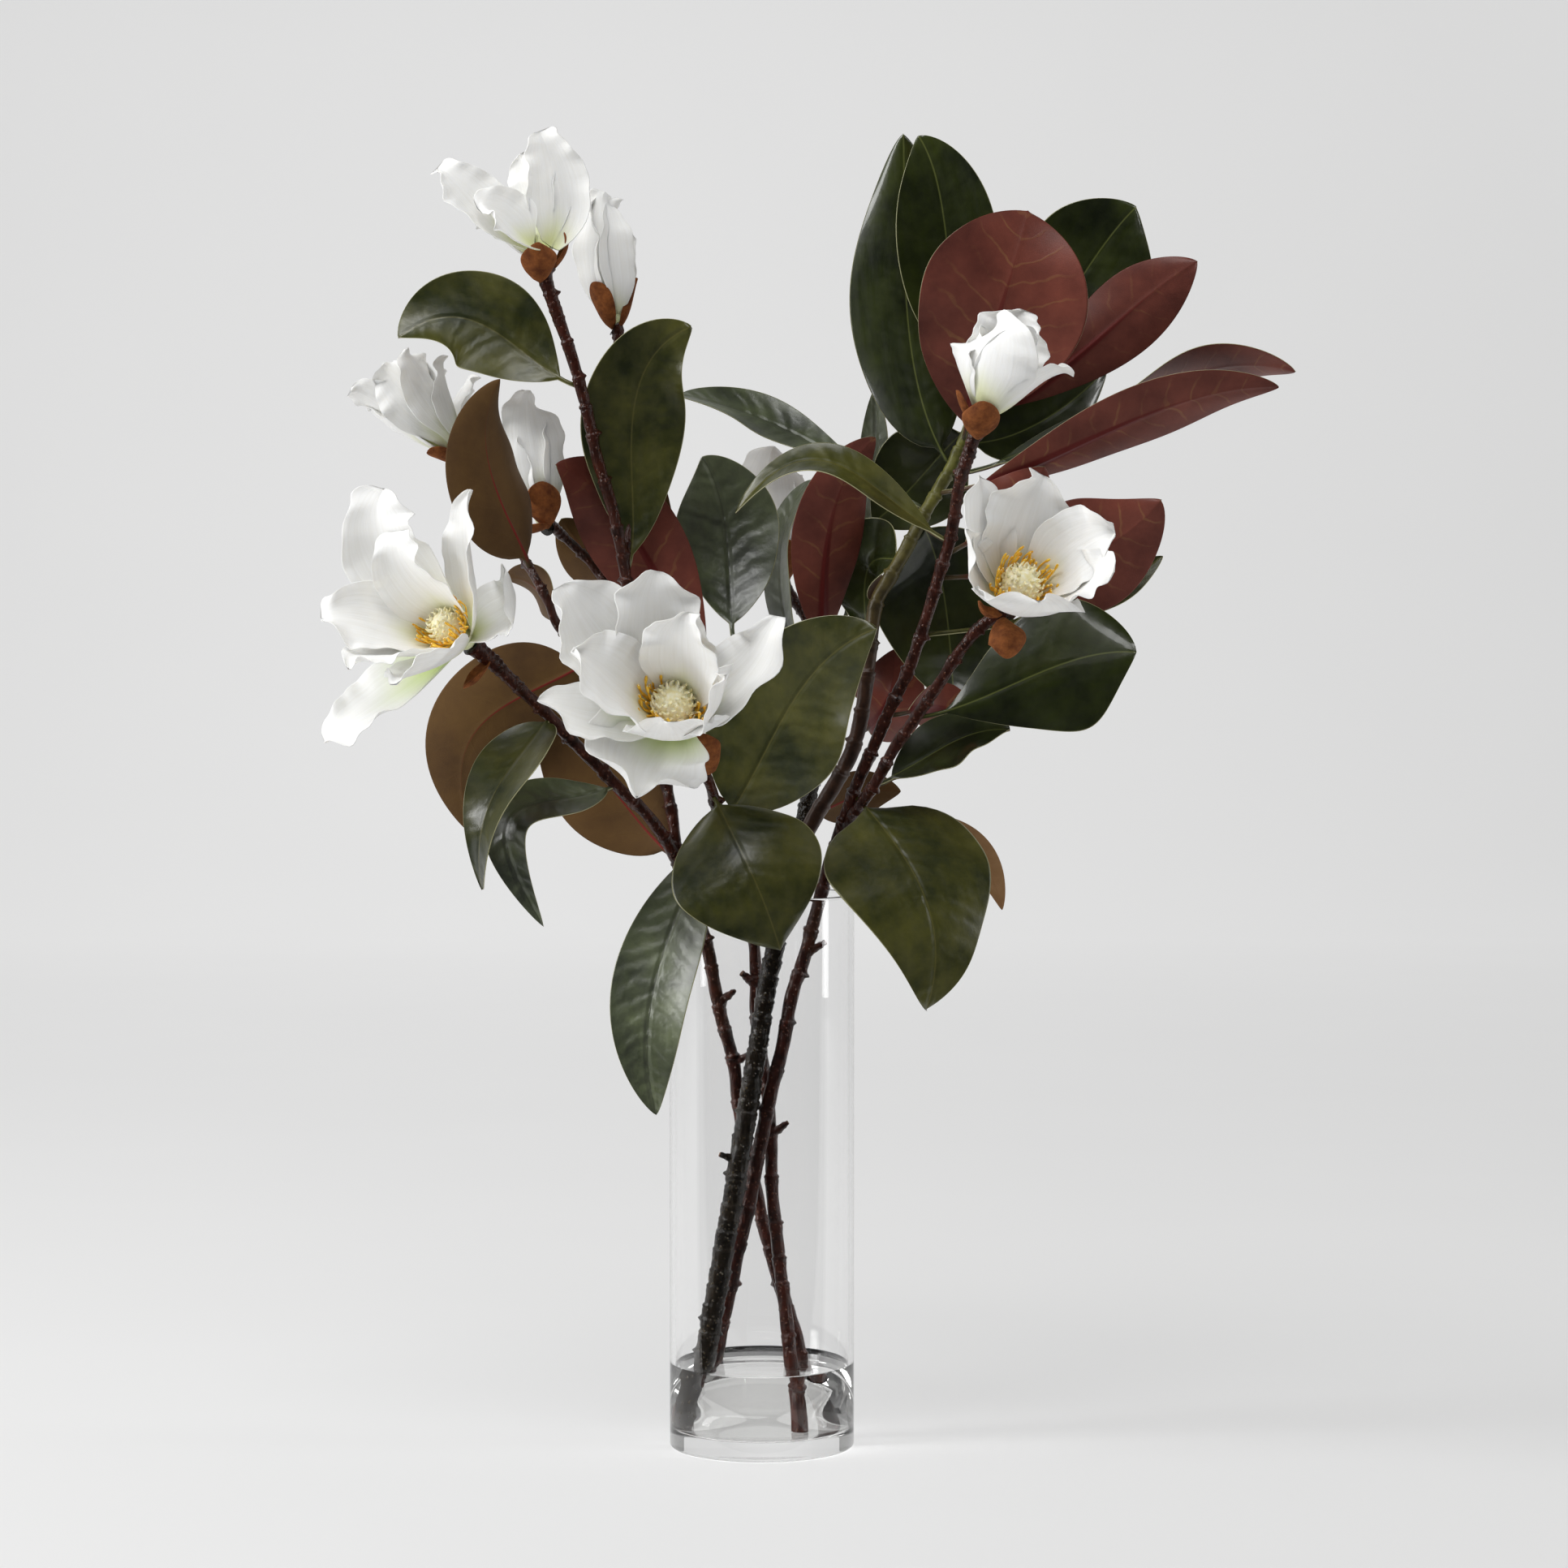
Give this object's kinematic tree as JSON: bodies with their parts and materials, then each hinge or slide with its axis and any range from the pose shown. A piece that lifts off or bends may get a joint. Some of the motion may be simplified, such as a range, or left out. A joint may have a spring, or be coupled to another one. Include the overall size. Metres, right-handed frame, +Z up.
{
  "type": "magnolia branches in a glass vase",
  "caption": "Tall clear glass cylinder vase with magnolia branches: open white flowers, buds, glossy green leaves with brown and red backs.",
  "frame": {"origin": "centre of the vase's flat base, on the surface that it stands on", "axes": "+Z up, -Y to the front"},
  "size_m": [0.5128, 0.2384, 0.7102],
  "materials": {
    "glass": "clear, polished",
    "water": "clear water",
    "stem": "satin bark",
    "petal": "soft, thin",
    "stamen": "soft",
    "leaf": "glossy top, suede-like back"
  },
  "bodies": {
    "root": {"branch_leafy": "stem", "branch_left": "stem", "branch_middle": "stem", "branch_right": "stem", "vase": "glass", "water": "water", "bloom_1": "petal", "bloom_2": "petal", "bloom_3": "petal", "bloom_4": "petal", "stamens_5": "stamen", "bloom_5": "petal", "stamens_6": "stamen", "bloom_6": "petal", "bloom_7": "petal", "bloom_8": "petal", "stamens_9": "stamen", "bloom_9": "petal", "leaf_01": "leaf", "leaf_02": "leaf", "leaf_03": "leaf", "leaf_04": "leaf", "leaf_05": "leaf", "leaf_06": "leaf", "leaf_07": "leaf", "leaf_08": "leaf", "leaf_09": "leaf", "leaf_10": "leaf", "leaf_11": "leaf", "leaf_12": "leaf", "leaf_13": "leaf", "leaf_14": "leaf", "leaf_15": "leaf", "leaf_16": "leaf", "leaf_17": "leaf", "leaf_18": "leaf", "leaf_19": "leaf", "leaf_20": "leaf", "leaf_21": "leaf", "leaf_22": "leaf", "leaf_23": "leaf", "leaf_24": "leaf", "leaf_25": "leaf", "leaf_26": "leaf", "leaf_27": "leaf", "leaf_28": "leaf", "leaf_29": "leaf", "leaf_30": "leaf", "leaf_31": "leaf", "leaf_32": "leaf", "leaf_33": "leaf", "leaf_34": "leaf", "leaf_35": "leaf", "leaf_36": "leaf", "leaf_37": "leaf", "leaf_38": "leaf", "leaf_39": "leaf", "leaf_40": "leaf", "leaf_41": "leaf"}
  },
  "joints": []
}
